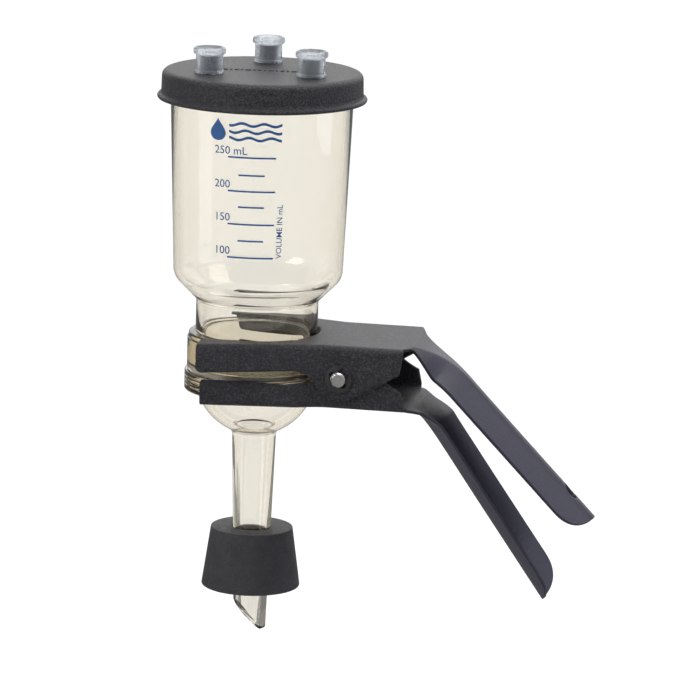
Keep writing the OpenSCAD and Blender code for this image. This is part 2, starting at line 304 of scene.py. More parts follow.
def clear_plastic():
    mat, tree, shader = new_material("clear_plastic", Roughness=0.0)
    shader.inputs["Base Color"].default_value = (1.0, 1.0, 1.0, 1)
    shader.inputs["Transmission Weight"].default_value = 1.0
    shader.inputs["IOR"].default_value = 1.6
    volume = tree.nodes.new("ShaderNodeVolumeAbsorption")
    volume.inputs["Color"].default_value = (0.643, 0.550, 0.300, 1)
    volume.inputs["Density"].default_value = 112.0
    output = tree.nodes["Material Output"]
    tree.links.new(volume.outputs["Volume"], output.inputs["Volume"])
    wave = link_noise(tree, 45, 1.0)
    add_bump(tree, shader, wave.outputs["Fac"], 0.02, 0.3 * MM)
    return mat


def cap_plastic():
    mat, tree, shader = new_material("cap_plastic", Roughness=0.3)
    shader.inputs["Base Color"].default_value = (0.74, 0.78, 0.82, 1)
    shader.inputs["Transmission Weight"].default_value = 0.84
    shader.inputs["IOR"].default_value = 1.4
    cloud = link_noise(tree, 320, 3.0)
    tree.links.new(map_range(tree, cloud.outputs["Fac"], 0.3, 0.7, 0.22, 0.4), shader.inputs["Roughness"])
    add_bump(tree, shader, cloud.outputs["Fac"], 0.05, 0.1 * MM)
    return mat


def rubber(name, dark, light, grain_scale=1100, strength=0.8):
    mat, tree, shader = new_material(name, Roughness=0.55)
    grain = link_noise(tree, grain_scale, 3.0, 0.65)
    tint(tree, shader, link_noise(tree, 160).outputs["Fac"], dark, light)
    tree.links.new(map_range(tree, grain.outputs["Fac"], 0.3, 0.7, 0.42, 0.66), shader.inputs["Roughness"])
    add_bump(tree, shader, grain.outputs["Fac"], strength, 0.7 * MM)
    return mat


def jaw_paint():
    """Powder coat: speckled on the jaws and smoother along the handles, where the base colour turns lighter
    and bluer as a painted sheen of the cool light from the right.
    """
    mat, tree, shader = new_material("jaw_paint", Roughness=0.42)
    shader.inputs["IOR"].default_value = 1.5
    specks = link_noise(tree, 1300, 2.0, 0.7).outputs["Fac"]
    tint(tree, shader, specks, (0.010, 0.010, 0.014), (0.062, 0.060, 0.072), 0.45, 0.74)
    speckle = shader.inputs["Base Color"].links[0].from_socket
    place = tree.nodes.new("ShaderNodeTexCoord")
    split = tree.nodes.new("ShaderNodeSeparateXYZ")
    tree.links.new(place.outputs["Object"], split.inputs["Vector"])
    along = split.outputs["X"]
    # painted sheen: past the side walls the speckled base colour blends into a lighter, bluer tone that
    # stands in for the cool light the handles reflect
    speckle_and_sheen_mix = tree.nodes.new("ShaderNodeMixRGB")
    tree.links.new(map_range(tree, along, 64 * MM, 76 * MM, 0.0, 0.8), speckle_and_sheen_mix.inputs["Fac"])
    tree.links.new(speckle, speckle_and_sheen_mix.inputs["Color1"])
    speckle_and_sheen_mix.inputs["Color2"].default_value = (0.026, 0.025, 0.046, 1)
    tree.links.new(speckle_and_sheen_mix.outputs["Color"], shader.inputs["Base Color"])
    grain = link_noise(tree, 1250, 3.0, 0.65)
    tree.links.new(map_range(tree, grain.outputs["Fac"], 0.3, 0.7, 0.30, 0.44), shader.inputs["Roughness"])
    bump = add_bump(tree, shader, grain.outputs["Fac"], 0.6, 1.0 * MM)
    tree.links.new(map_range(tree, along, 66 * MM, 78 * MM, 1.0, 0.1), bump.inputs["Strength"])
    return mat


def steel(name, colour, roughness):
    mat, tree, shader = new_material(name, Metallic=1.0, Roughness=roughness)
    lines = link_noise(tree, 900, 3.0)
    tint(tree, shader, lines.outputs["Fac"], tuple(0.85 * c for c in colour), colour)
    add_bump(tree, shader, lines.outputs["Fac"], 0.25, 0.05 * MM)
    return mat


def ink():
    mat, tree, shader = new_material("blue_ink", Roughness=0.4)
    tint(tree, shader, link_noise(tree, 600).outputs["Fac"], (0.012, 0.075, 0.24), (0.015, 0.095, 0.29))
    return mat


MATERIALS = {
    "lid": lid_plastic(),
    "clear": clear_plastic(),
    "cap": cap_plastic(),
    "stopper": rubber("stopper_rubber", (0.024, 0.024, 0.029), (0.034, 0.034, 0.040)),
    "silicone": rubber("silicone", (0.55, 0.53, 0.48), (0.62, 0.60, 0.55), 900, 0.1),
    "plate": rubber("plate_plastic", (0.68, 0.64, 0.52), (0.74, 0.70, 0.58), 1200, 0.15),
    "paint": jaw_paint(),
    "pin": steel("pin_steel", (0.84, 0.82, 0.80), 0.2),
    "clip": rubber("clip_steel", (0.02, 0.02, 0.022), (0.03, 0.03, 0.033), 1400, 0.2),
    "spring": steel("spring_steel", (0.42, 0.42, 0.44), 0.35),
    "ink": ink(),
}


# ---------------------------------------------------------------- lid and caps

PORT_ANGLE = math.degrees(math.atan2(*(((PORTS["rear"][0] + PORTS["rear"][1]) / 2).yx)))


def port_centres():
    return {side: (lo + hi) / 2 for side, (lo, hi) in PORTS.items()}


def make_lid():
    port_top = lid_hi.z / MM
    top = port_top - 7.5
    bottom = lid_lo.z / MM
    bead = lid_hi.x / MM
    skirt = bead - 1.95
    wall = 1.7
    inside = top - 2.45
    outline = rounded([
        (0, inside, 0), (skirt - wall, inside, 0.6), (skirt - wall, bottom, 0.3), (skirt + 1.2, bottom, 0.5),
        (bead, bottom + 1.1, 0.9), (skirt + 0.35, bottom + 2.2, 0.5), (skirt, bottom + 3.2, 0.8),
        (skirt - 0.25, top, 2.6), (skirt - 6.5, top - 0.05, 6), (0, top, 0)], 6)
    lid = lathe("lid_shell", in_mm(outline), 256)
    spigot = [(1.2, top - 1), (3.7, top - 1), (3.7, port_top - 0.3), (3.4, port_top), (1.2, port_top)]
    for centre in port_centres().values():
        combine(lid, lathe("spigot", in_mm(spigot), 64, centre[:2]), "UNION")
    for centre in port_centres().values():
        bore = [(0, top - 4), (2, top - 4), (2, port_top + 1), (0, port_top + 1)]
        combine(lid, lathe("bore", in_mm(bore), 64, centre[:2]))
    shade(lid, 40)
    finish_piece(lid, MATERIALS["lid"], "lid", "lid")
    make_lid_marks(top)


def make_lid_marks(top):
    """A row of plain raised ticks across the lid, square to the rear port."""
    turn = math.radians(PORT_ANGLE - 90)
    verts, faces = [], []
    widths = [2.2, 0.9, 1.6, 0.9, 2.2, 0.9, 1.6, 0.9, 2.2, 0.9, 1.6, 0.9, 2.2]
    x = -16.5
    for width in widths:
        box = [(x, -1.7), (x + width, -1.7), (x + width, 1.7), (x, 1.7)]
        inner = [(x + 0.2, -1.5), (x + width - 0.2, -1.5), (x + width - 0.2, 1.5), (x + 0.2, 1.5)]
        start = len(verts)
        for ring, level in ((box, top - 0.1), (box, top + 0.15), (inner, top + 0.35)):
            verts += [((px * math.cos(turn) - py * math.sin(turn)) * MM,
                       (px * math.sin(turn) + py * math.cos(turn)) * MM, level * MM) for px, py in ring]
        faces.append([start + k for k in (3, 2, 1, 0)])
        faces.append([start + 8 + k for k in (0, 1, 2, 3)])
        for layer in (0, 4):
            faces += [[start + layer + k, start + layer + (k + 1) % 4, start + layer + 4 + (k + 1) % 4,
                       start + layer + 4 + k] for k in range(4)]
        x += width + 0.95
    marks = add_mesh("lid_marks", verts, faces)
    finish_piece(marks, MATERIALS["lid"], "lid")


def make_caps():
    for side, (lo, hi) in PORTS.items():
        bottom, top = lo.z / MM, hi.z / MM
        outline = rounded([
            (3.78, bottom, 0.15), (5.95, bottom, 0.3), (5.95, bottom + 0.9, 0.3), (5.62, bottom + 1.3, 0.3),
            (5.55, top - 3.0, 0.3), (6.62, top - 2.4, 0.5), (6.62, top, 0.9), (5.4, top, 0.5),
            (4.4, top - 0.9, 0.8), (0, top - 0.9, 0), (0, top - 2.6, 0), (3.78, top - 2.6, 0.4)], 5)
        centre = (lo + hi) / 2
        cap = lathe("cap_" + side, in_mm(outline), 96, centre[:2])
        finish_piece(cap, MATERIALS["cap"], "cap_" + side, "port_cap_" + side)


# ---------------------------------------------------------------- clear funnel and base

NECK = 25.2
COLLAR = 28.5
CYLINDER = 34.9
MOUTH = 37.6
WALL = 2.0


def make_funnel():
    """One closed outline: out along the collar's foot, up the outside, over the rim and down the inside."""
    bottom, top = funnel_lo.z / MM + 0.03, funnel_hi.z / MM
    rim, lip = funnel_hi.x / MM, top - 3.2
    collar_top = upper_hi.z / MM - SHEET - PLATE_GAP
    neck_z, bend = 121.6, 8
    shoulder_z = neck_z + CYLINDER - NECK + bend * math.tan(math.radians(22.5))
    centre = (CYLINDER - bend, shoulder_z)
    slant_start = bend * math.sin(math.radians(45))
    neck_in, ledge, step = NECK - 2.3, collar_top - 0.4, 1.4
    ring_mid, groove, groove_top = ring_hi.x / MM - 1.2, 1.3, bottom + 2.4
    outline = rounded([
        (neck_in - step, bottom, 0.3), (ring_mid - groove, bottom, 0), (ring_mid - groove, groove_top, 0.2),
        (ring_mid + groove, groove_top, 0.2), (ring_mid + groove, bottom, 0), (COLLAR, bottom, 0.3),
        (COLLAR, collar_top - 2.5, 0.25), (COLLAR - 0.5, collar_top - 2.1, 0.2),
        (COLLAR - 0.5, collar_top, 0.9), (NECK, collar_top, 0.5), (NECK, neck_z, 2.5),
        (centre[0] + slant_start, centre[1] - slant_start, 0)], 6, closed=False)
    outline += arc(centre, bend, -42, 0, 12)
    outline += rounded([
        (MOUTH - 0.1, top - 6, 0), (MOUTH, lip, 0.6), (rim, lip, 0.4), (rim, top, 0.6),
        (MOUTH - WALL, top, 0.5), (CYLINDER - WALL + 0.1, centre[1] + 8, 0)], 6, closed=False)
    outline += arc(centre, bend - WALL, 0, -42, 12)
    outline += rounded([
        (centre[0] + 4.3, centre[1] - 4.3, 0),
        (neck_in, neck_z + WALL * math.tan(math.radians(22.5)) + 0.3, 4), (neck_in, ledge, 0.5),
        (neck_in - step, ledge - 0.5, 0.4), (neck_in - step, bottom + 4, 0)], 6, closed=False)
    funnel = lathe("funnel_clear", in_mm(outline), 256, sharp_deg=28)
    finish_piece(funnel, MATERIALS["clear"], "holder", "funnel")


STEM_ROOT, STEM_TIP = 9.15, 6.65  # outer radii


def stem_radius(z):
    """Outer radius of the stem, one even taper from the bowl to its tip, in millimetres."""
    root_z, tip_z = 66.1, base_lo.z / MM
    return STEM_TIP + (z - tip_z) * (STEM_ROOT - STEM_TIP) / (root_z - tip_z)


def make_base():
    """One closed outline: the grooved flange, the bowl and the stem, then back up inside to the recess."""
    top, bottom = base_hi.z / MM, base_lo.z / MM
    flange, under = base_hi.x / MM, LOWER_FACE + SHEET + PLATE_GAP
    bowl, bowl_z, wall = 25.1, 89.5, 2.2
    inner = bowl - wall
    plate_r, recess = 23.85, top - 2.2
    outline = rounded([(plate_r, top, 0.25), (flange, top, 0.5), (flange, top - 1.2, 0)], 4, closed=False)
    for groove in range(1, 4):
        z = top - 0.4 - 1.7 * groove
        outline += [(flange, z + 0.45), (flange - 0.4, z + 0.12)]
        outline += [(flange - 0.4, z - 0.12), (flange, z - 0.45)]
    under_r = math.sqrt(bowl ** 2 - (bowl_z - under) ** 2)
    outline += rounded([(flange, under + 0.8, 0), (flange, under, 0.4), (under_r + 0.6, under, 0)], 4,
                       closed=False)
    start = -math.degrees(math.asin((bowl_z - under) / bowl)) - 2
    outline += arc((0, bowl_z), bowl, start, -math.degrees(math.acos((STEM_ROOT + 0.7) / bowl)), 40)
    outline += rounded([
        (STEM_ROOT + 0.25, 65.6, 0), (stem_radius(64.6), 64.6, 0), (STEM_TIP, bottom, 0.35),
        (STEM_TIP - 2.05, bottom, 0.3), (STEM_ROOT - wall, 64, 2),
        (STEM_ROOT - wall + 0.6, bowl_z - math.sqrt(inner ** 2 - 7.7 ** 2), 0)], 4, closed=False)
    end = -math.degrees(math.asin((bowl_z - recess) / inner))
    outline += arc((0, bowl_z), inner, -math.degrees(math.acos(8.6 / inner)), end, 40)
    outline += [(plate_r, recess)]
    base = lathe("base_clear", in_mm(outline), 256, sharp_deg=28)
    cut_stem_end(base)
    bevel(base, 0.3 * MM, 42, 3)
    shade(base, 28)
    finish_piece(base, MATERIALS["clear"], "holder", "filter_base")


def cut_stem_end(base):
    """The stem's end is cut at 45 degrees, starting 6 mm below the origin on the left."""
    cut_x, cut_z = -stem_radius(-6), -6
    triangle = [(cut_x - 10, cut_z + 10), (cut_x + 30, cut_z - 30), (cut_x - 10, -60)]
    combine(base, prism("wedge", in_mm(triangle), -20 * MM, 20 * MM, "y"))


def make_ring_and_plate():
    mid = ring_hi.x / MM - 1.2
    level = (ring_lo.z + ring_hi.z) / 2 / MM + 0.03
    ring = lathe("seal_ring", in_mm(arc((mid, level), 1.15, 0, 345, 23)), 192, sharp_deg=180)
    finish_piece(ring, MATERIALS["silicone"], "holder", "o_ring")
    frame["nodes"]["support_plate"].data.materials.clear()
    frame["nodes"]["support_plate"].data.materials.append(MATERIALS["plate"])


def make_stopper():
    bottom, top = stopper_lo.z / MM, stopper_hi.z / MM
    wide = stopper_hi.x / MM
    narrow, gap = 17.0, 0.07
    outline = rounded([
        (stem_radius(bottom) + gap, bottom, 0.3), (wide - 0.05, bottom, 0.6), (narrow, top, 0.45),
        (stem_radius(top) + gap, top, 0.35)], 5)
    stopper = lathe("stopper_rubber", in_mm(outline), 192, sharp_deg=40)
    finish_piece(stopper, MATERIALS["stopper"], "stopper", "stopper")


# ---------------------------------------------------------------- clamp

def edge_levels(points, xs):
    """Level of a free edge at each x, from its (x, level) points in any order."""
    points = sorted(points)
    return np.interp(xs, [p[0] for p in points], [p[1] for p in points])


def softened(points, xs, reach=1.6):
    """A piecewise line through the points with its corners softened."""
    px, py = [p[0] for p in points], [p[1] for p in points]
    inside = [np.clip(xs + s, px[0], None) for s in np.linspace(-reach, reach, 9)]
    return np.mean([np.interp(row, px, py) for row in inside], axis=0)


class CrestPath:
    """Middle line of a handle in the x-z plane: level, then round bends with straight runs between them.
    Each bend is the distance to its corner from the one before, its angle in degrees and its radius."""

    def __init__(self, face, bends, reach):
        self.face, self.first_r = face, bends[0][2]
        self.runs, spare = [], 0.0
        for gap, degrees, radius in bends:
            angle = math.radians(degrees)
            tangent = radius * math.tan(angle / 2)
            self.runs += [(gap - spare - tangent, None), (radius * angle, radius)]
            spare = tangent
        self.start = self.runs.pop(0)[0]
        self.runs.append((reach - spare, None))
        self.length = sum(length for length, _ in self.runs)

    def at(self, s):
        """The point and slope angle at a distance s past the start of the first bend."""
        x, z, angle = self.start + min(s, 0.0), self.face, 0.0
        left = max(s, 0.0)
        for length, radius in self.runs:
            step = min(left, length)
            if radius:
                turned = angle + step / radius
                x += radius * (math.sin(turned) - math.sin(angle))
                z -= radius * (math.cos(angle) - math.cos(turned))
                angle = turned
            else:
                x += step * math.cos(angle)
                z -= step * math.sin(angle)
            left -= step
        return np.array([x, z]), angle

    def over(self, x):
        """Distance s at which the path passes over x, up to the end of the first bend."""
        return self.first_r * math.asin((x - self.start) / self.first_r) if x > self.start else x - self.start


def hermite(a, b, slope_a, slope_b, t):
    """A cubic from a to b that leaves and arrives along the two slopes."""
    t = min(max(t, 0.0), 1.0)
    return ((2 * t ** 3 - 3 * t ** 2 + 1) * a + (t ** 3 - 2 * t ** 2 + t) * slope_a
            + (3 * t ** 2 - 2 * t ** 3) * b + (t ** 3 - t ** 2) * slope_b)


def crown(u, width, flat, softness):
    """How far a point at u of the half width has dropped from the crest, as a share of the edge's drop."""
    def drop(y):
        y = max(y, 0.0)
        return math.sqrt(y * y + softness ** 2) - softness
    flat = min(flat, width - 1.5)
    return drop(abs(u) * width - flat) / drop(width - flat)


COLUMNS = 48  # faces across the plate and the handle
FOLD = 2.5  # outer radius of the fold between plate and side wall


def skirt_section(x, w, d, outward, path, lean):
    """One section of the pressed channel: side wall, fold, plate, fold, side wall."""
    side = [(w, depth) for depth in np.linspace(d, FOLD, 9)[:-1]]
    side += [(w - FOLD + FOLD * math.cos(t), FOLD - FOLD * math.sin(t))
             for t in np.linspace(0, math.pi / 2, 9)[:-1]]
    sag = path.face - path.at(path.over(x))[0][1]
    plate = [(u * (w - FOLD), outward * sag * (1 - crown(u, w - FOLD, 12.0, 6.0)))
             for u in np.linspace(1, -1, COLUMNS + 1)]
    row = []
    for y, depth in side + plate + [(-y, depth) for y, depth in side[::-1]]:
        shift = lean * max(depth - FOLD, 0) * (abs(y) > w - FOLD)
        row.append((x - shift, y, path.face - outward * depth))
    return row


def skirt_rows(outward, xs, widths, depths, path, slant):
    """Sections along the channel. The side walls' rear ends lean forward by slant per millimetre of depth."""
    reach = 12
    return [skirt_section(x, w, d, outward, path, slant * smooth((x - xs[-1] + reach) / reach))
            for x, w, d in zip(xs, widths, depths)]


def handle_stations(root_s, length, tip):
    """Distances along a handle: close together at the root, wider along it, and close round the tip."""
    near = list(np.arange(root_s + 0.5, root_s + 26, 0.75))
    along = list(np.arange(root_s + 27, length - tip, 2.4))
    return near + along + [length - tip + tip * math.sin(a) for a in np.linspace(0, math.radians(86), 22)]


def half_width(t, from_end, root_w, shape):
    """Half the handle's width, t past the root, and the same with its tip rounded off."""
    tip, neck, start, run = shape["width"], shape["neck_w"], shape["neck_from"], shape["neck_len"]
    full = root_w + (neck - root_w) * smooth((t - start) / run)
    full += (tip - neck) * smooth((t - start - 0.5 * run) / 16)
    if from_end >= tip:
        return full, full
    into_end = max(tip - from_end, 0) / tip
    return full, max(tip * (1 - into_end ** 2.5) ** 0.4, 0.05)


def handle_rows(outward, path, root_x, root_w, shape):
    """Sections of the handle past the side walls. shape gives, in millimetres:
    width, arch - half its width, and how far its edges lie below the crest
    join, lead, landing - length of the edges' curve from the root to their steady place, and its two pulls
    neck_w, neck_from, neck_len - half width of the narrowing behind the side walls, its start and its length
    flat, flat_len - half width of the flat crest at the root, and the distance over which it fades"""
    root_s = path.over(root_x)
    first = np.array([root_x, path.face])

    def steady_edge(s):
        point, angle = path.at(s)
        return point - outward * shape["arch"] * np.array([math.sin(angle), math.cos(angle)])

    join = root_s + shape["join"]
    target, slope = steady_edge(join), path.at(join)[1]
    leave = np.array([shape["lead"], 0.0])
    arrive = shape["landing"] * np.array([math.cos(slope), -math.sin(slope)])
    rows = []
    for s in handle_stations(root_s, path.length, shape["width"]):
        point, _ = path.at(s)
        t = s - root_s
        edge = hermite(first, target, leave, arrive, t / shape["join"]) if s < join else steady_edge(s)
        full, half = half_width(t, path.length - s, root_w, shape)
        flat = shape["flat"] * math.exp(-t / shape["flat_len"])
        softness = 0.5 + 4.8 * smooth((t - 8) / 50)
        row = []
        for y in np.linspace(half, -half, COLUMNS + 1):
            spot = point + (edge - point) * crown(y / full, full, flat, softness)
            row.append((spot[0], y, spot[1]))
        rows.append(row)
    return rows


def sheet_faces(body_count, width, handle_count):
    """Quads over the channel's rows, then over the handle's, which carry on from the last row's plate."""
    rows = [list(range(i * width, (i + 1) * width)) for i in range(body_count)]
    faces = [[a[i], a[i + 1], b[i + 1], b[i]] for a, b in zip(rows, rows[1:]) for i in range(width - 1)]
    first_column = (width - COLUMNS - 1) // 2
    last = rows[-1][first_column:first_column + COLUMNS + 1]
    for k in range(handle_count):
        start = body_count * width + k * (COLUMNS + 1)
        row = list(range(start, start + COLUMNS + 1))
        faces += [[last[i], last[i + 1], row[i + 1], row[i]] for i in range(COLUMNS)]
        last = row
    return faces


def sheet_stations(start_x, root_x, edge):
    """Every x at which the channel gets a section: an even spacing and each point of the free edge."""
    grid = np.concatenate([np.arange(start_x, root_x, 1.5), [p[0] for p in edge], [root_x]])
    grid = np.unique(np.round(grid, 3))
    grid = grid[(grid >= start_x) & (grid <= root_x)]
    return np.array([x for i, x in enumerate(grid) if i == 0 or x - grid[i - 1] > 0.05])


def make_jaw(name, outward, half_widths, edge, path, shape):
    """One pressed jaw and its handle: the outer face as one sheet, then thickened.
    edge holds the side walls' free edge as (x, level) points, up to where the side walls end."""
    xs = sheet_stations(half_widths[0][0], edge[-1][0], edge)
    widths = softened(half_widths, xs)
    depths = outward * (path.face - edge_levels(edge, xs))
    body = skirt_rows(outward, xs, widths, depths, path, shape["slant"])
    handle = handle_rows(outward, path, xs[-1], widths[-1] - FOLD, shape)
    faces = sheet_faces(len(body), len(body[0]), len(handle))
    if outward < 0:
        faces = [f[::-1] for f in faces]
    verts = [v for row in body + handle for v in row]
    jaw = add_mesh(name, np.array(verts) * MM, faces)
    thick = jaw.modifiers.new("thick", "SOLIDIFY")
    thick.thickness = SHEET * MM
    thick.offset = -1
    apply_all(jaw)
    return jaw


def cut_fork(jaw, face):
    """The round-ended slot that takes the neck or the bowl, with a small notch on each side."""
    slot_r, notch_r = 26.5, 1.6
    ring = arc((0, 0), slot_r, -90, 90, 96)
    slot = [(-40, -slot_r)] + ring + [(-40, slot_r)]
    combine(jaw, prism("fork", in_mm(slot), (face - 5) * MM, (face + 5) * MM))
    for side in (-1, 1):
        a = math.radians(side * 42)
        circle = arc((slot_r * math.cos(a), slot_r * math.sin(a)), notch_r, 0, 345, 23)
        combine(jaw, prism("notch", in_mm(circle), (face - 3.5) * MM, (face + 3.5) * MM))


def cut_pivot(jaw):
    ring = arc((pivot.x / MM, pivot.z / MM), 3.15, 0, 352.5, 47)
    combine(jaw, prism("pivot_hole", in_mm(ring), -40 * MM, 40 * MM, "y"))


def finish_jaw(jaw, face, body, node, hole=None):
    cut_fork(jaw, face)
    cut_pivot(jaw)
    if hole:
        combine(jaw, hole)
    bevel(jaw, 0.22 * MM)
    shade(jaw, 40)
    finish_piece(jaw, MATERIALS["paint"], body, node)


def hang_hole(path):
    """The cutter for the hole near the upper handle's end."""
    spot, angle = path.at(path.length - 14)
    hole = lathe("hang_hole", in_mm([(0, -8), (3.5, -8), (3.5, 5), (0, 5)]), 48)
    hole.rotation_euler = (0, angle, 0)
    hole.location = (spot[0] * MM, 0, spot[1] * MM)
    return hole


def make_upper_jaw():
    face = upper_hi.z / MM
    edge = rounded([
        (-17.2, 101, 0), (-17.2, 97.4, 2.5), (23, 98.4, 5), (28.4, 95.6, 5), (30.6, 91.5, 0)],
        8, closed=False)[1:]
    edge += arc((pivot.x / MM, pivot.z / MM), 9.5, -150, -63, 24) + [(65.5, 98.2)]
    path = CrestPath(face, [(67.2, 28.0, 6.0), (18.6, 17.7, 60.0)], 85.5)
    shape = dict(
        width=14.2, arch=7.4, join=18.0, lead=14.0, landing=7.0, neck_w=16.5, neck_from=0.0, neck_len=4.5,
        flat=19.0, flat_len=10.0, slant=0.165)
    jaw = make_jaw("upper_clamp_jaw", 1, [(-17.2, 40), (33.5, 25.9), (67, 25.9)], edge, path, shape)
    finish_jaw(jaw, face, "upper_clamp", "upper_jaw", hang_hole(path))


def make_lower_jaw():
    edge = rounded([
        (-16.4, 89, 0), (-16.4, 93.5, 1.6), (5, 93.1, 0), (19, 92.1, 8), (28, 93.2, 3), (30.6, 97, 0)],
        8, closed=False)[1:]
    edge += arc((pivot.x / MM, pivot.z / MM), 9.1, 155, 62, 24) + [(65.9, 91.0)]
    path = CrestPath(LOWER_FACE, [(66.5, 54.7, 6.0)], 97.6)
    shape = dict(
        width=14.2, arch=7.4, join=14.0, lead=10.0, landing=7.0, neck_w=16.0, neck_from=1.0, neck_len=6.0,
        flat=12.0, flat_len=5.0, slant=0.22)
    half_widths = [(-16.4, 34.5), (22, 28.3), (29, 25.3), (33, 24.4), (67, 24.4)]
    jaw = make_jaw("lower_clamp_jaw", -1, half_widths, edge, path, shape)
    finish_jaw(jaw, LOWER_FACE, "lower_clamp", "lower_jaw")


def along_y(obj):
    """Lays a lathed piece from the z axis onto the pivot, along y."""
    for v in obj.data.vertices:
        x, y, z = v.co
        v.co = (pivot.x + x, z, pivot.z - y)
    obj.data.update()
    return obj


def make_pin():
    """The near end is upset over, the clip sits in a groove, and the far end has a wide head."""
    near, far = pin_lo.y / MM, pin_hi.y / MM
    clip_near, clip_far, head = clip_lo.y / MM, clip_hi.y / MM, 25.92
    shank, groove, head_r = 3.1, 2.4, 4.6
    outline = rounded([
        (0, near, 0), (2.3, near, 0.3), (shank, near + 0.7, 0.3), (shank, clip_near - 0.1, 0),
        (groove, clip_near - 0.1, 0), (groove, clip_far + 0.05, 0), (shank, clip_far + 0.05, 0),
        (shank, head, 0), (head_r, head, 0.2), (head_r, far, 0.8), (0, far, 0)], 4)
    pin = along_y(lathe("pivot_rivet", in_mm(outline), 96))
    fix_normals(pin)
    finish_piece(pin, MATERIALS["pin"], "upper_clamp", "pivot_pin")


def make_clip():
    """An E-clip: a ring open towards its heading, with two lobes cut out inside."""
    heading, outer_r, inner_r, lobe_r = 48, 5.5, 2.42, 1.2
    outer = arc((0, 0), outer_r, heading + 25, heading + 335, 64)
    inner = arc((0, 0), inner_r, heading + 295, heading + 65, 39)
    shape = [(pivot.x / MM + x, pivot.z / MM + z) for x, z in outer + inner]
    clip = prism("retaining_clip", in_mm(shape), clip_lo.y, clip_hi.y, "y")
    for turn in (heading - 95, heading + 95):
        a = math.radians(turn)
        lobe = arc((pivot.x / MM + 3.1 * math.cos(a), pivot.z / MM + 3.1 * math.sin(a)), lobe_r, 0, 345, 23)
        combine(clip, prism("lobe", in_mm(lobe), clip_lo.y - 1 * MM, clip_hi.y + 1 * MM, "y"))
    bevel(clip, 0.15 * MM)
    shade(clip, 40)
    finish_piece(clip, MATERIALS["clip"], "upper_clamp", "e_clip")


def spring_path(coil, half, legs, up, down):
    """(x, y, z, angle) along the wire about the pivot: upper leg, seven turns and a part turn, lower leg."""
    start, sweep = 90 + up, 180 - up - down + 360 * 7
    count = int(sweep / 7.5)
    pieces = 8
    path = []
    for i in range(-pieces, count + pieces + 1):
        t = min(max(i / count, 0), 1)
        a = math.radians(start + sweep * t)
        x, z = coil * math.cos(a), coil * math.sin(a)
        before, after = max(-i, 0) / pieces, max(i - count, 0) / pieces
        x += legs * (before * math.cos(math.radians(up)) + after * math.cos(math.radians(down)))
        z += legs * (before * math.sin(math.radians(up)) - after * math.sin(math.radians(down)))
        path.append((x, half * (1 - 2 * t), z, a))
    return path


def make_spring():
    """The upper leg follows the upper jaw and the lower leg the lower jaw; the coil twists between them."""
    wire, around = 0.9, 16
    path = spring_path(coil=5.3, half=8.2, legs=25.5, up=13.9, down=12.5)
    verts, faces = [], []
    for x, y, z, a in path:
        for b in np.linspace(0, 2 * math.pi, around, endpoint=False):
            out = wire * math.cos(b)
            verts.append((pivot.x + (x + out * math.cos(a)) * MM, (y + wire * math.sin(b)) * MM,
                          pivot.z + (z + out * math.sin(a)) * MM))
    for i in range(len(path) - 1):
        for k in range(around):
            a, b = i * around + k, i * around + (k + 1) % around
            faces.append([a, b, b + around, a + around])
    faces += [list(range(around))[::-1], list(range(len(verts) - around, len(verts)))]
    spring = add_mesh("coil_spring", verts, faces, 60)
    fix_normals(spring)
    spring.data.materials.append(MATERIALS["spring"])
    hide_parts("torsion_spring")
    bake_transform(spring)


# ---------------------------------------------------------------- printed scale

def funnel_radius(z):
    """Outer radius of the funnel's side at a height, both in millimetres."""
    low, high = 134.6, funnel_hi.z / MM - 3.2
    return CYLINDER + (MOUTH - CYLINDER) * (z - low) / (high - low)


def on_funnel(angle_deg, z, lift):
    """A point on the funnel's side, lifted off it; the angle runs from the front round to the right."""
    a = math.radians(angle_deg)
    r = funnel_radius(z) + lift
    return (r * math.sin(a) * MM, -r * math.cos(a) * MM, z * MM)


def wrapped_patch(verts, faces, outline_grid):
    """Adds a thin closed patch: a grid of (angle, z) points lifted off the funnel's side."""
    rows, cols = len(outline_grid), len(outline_grid[0])
    start = len(verts)
    for lift in (0.01, 0.05):
        for row in outline_grid:
            verts += [on_funnel(a, z, lift) for a, z in row]
    size = rows * cols

    def index(layer, i, j):
        return start + layer * size + i * cols + j

    for i in range(rows - 1):
        for j in range(cols - 1):
            faces.append([index(1, i, j), index(1, i, j + 1), index(1, i + 1, j + 1), index(1, i + 1, j)])
            faces.append([index(0, i, j), index(0, i + 1, j), index(0, i + 1, j + 1), index(0, i, j + 1)])
    border = [(0, j) for j in range(cols)] + [(i, cols - 1) for i in range(1, rows)]
    border += [(rows - 1, j) for j in range(cols - 2, -1, -1)] + [(i, 0) for i in range(rows - 2, 0, -1)]
    for (i, j), (k, m) in zip(border, border[1:] + border[:1]):
        faces.append([index(0, i, j), index(0, k, m), index(1, k, m), index(1, i, j)])


def make_scale():
    """A long line and its volume every 50 mL, and a short line between them."""
    verts, faces = [], []
    levels = {250: 186.25, 225: 179.0, 200: 172.4, 175: 165.9, 150: 158.8, 125: 152.0, 100: 145.05}
    half_line = 0.35
    for volume, z in levels.items():
        first, last = (-10.0, 20.7) if volume % 50 == 0 else (-3.0, 13.8)
        angles = np.linspace(first, last, 25)
        wrapped_patch(verts, faces, [[(a, z + side * half_line) for a in angles] for side in (-1, 1)])
    marks = add_mesh("scale_lines", verts, faces)
    fix_normals(marks)
    finish_piece(marks, MATERIALS["ink"], "holder")
    for volume, z in levels.items():
        if volume % 50 == 0:
            words = f"{volume} mL" if volume == 250 else str(volume)
            make_print("scale_" + str(volume), words, 4.6, -19.3, z + 1.2)
    make_print("scale_caption", "VOLUME IN mL", 3.3, 26.0, 145.0, upright=True)
    make_emblem()


